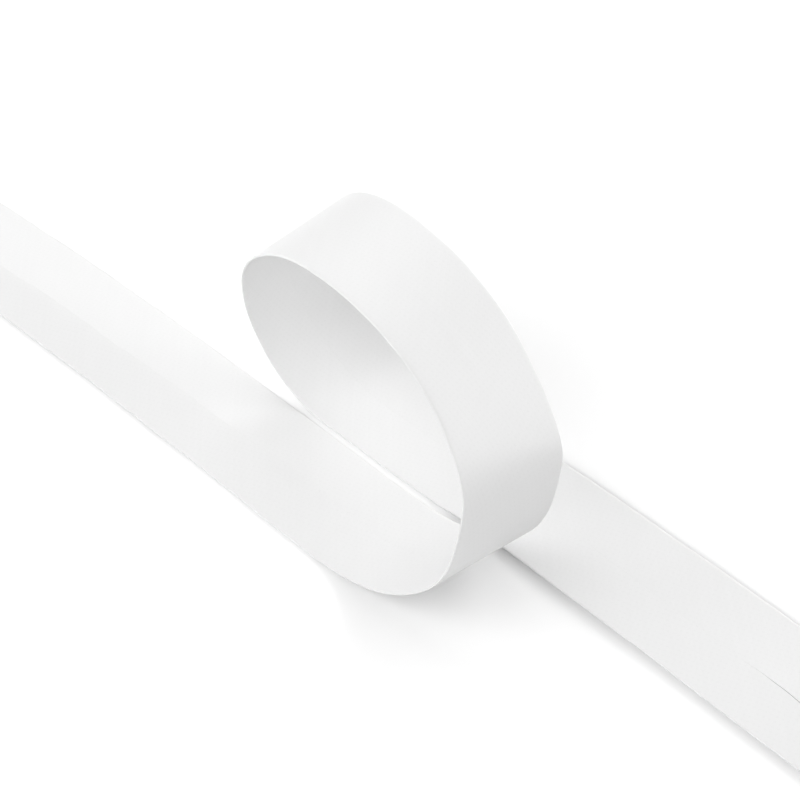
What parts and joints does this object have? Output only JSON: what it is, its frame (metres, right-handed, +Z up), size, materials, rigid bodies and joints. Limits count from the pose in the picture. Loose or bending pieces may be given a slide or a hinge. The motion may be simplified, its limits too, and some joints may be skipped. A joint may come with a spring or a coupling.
{
  "type": "looped length of bias tape",
  "caption": "Cut length of satin bias tape, both edges folded in to a slit, lying flat with one standing loop.",
  "frame": {"origin": "on the surface that the tape lies on, under the middle of its box", "axes": "+X along the runs, from the first cut end to the last; +Y from the first run towards the second; +Z up"},
  "size_m": [0.2278, 0.0448, 0.0429],
  "materials": {
    "satin": "white satin, soft sheen"
  },
  "bodies": {
    "root": {"bias_tape": "satin"}
  },
  "joints": []
}
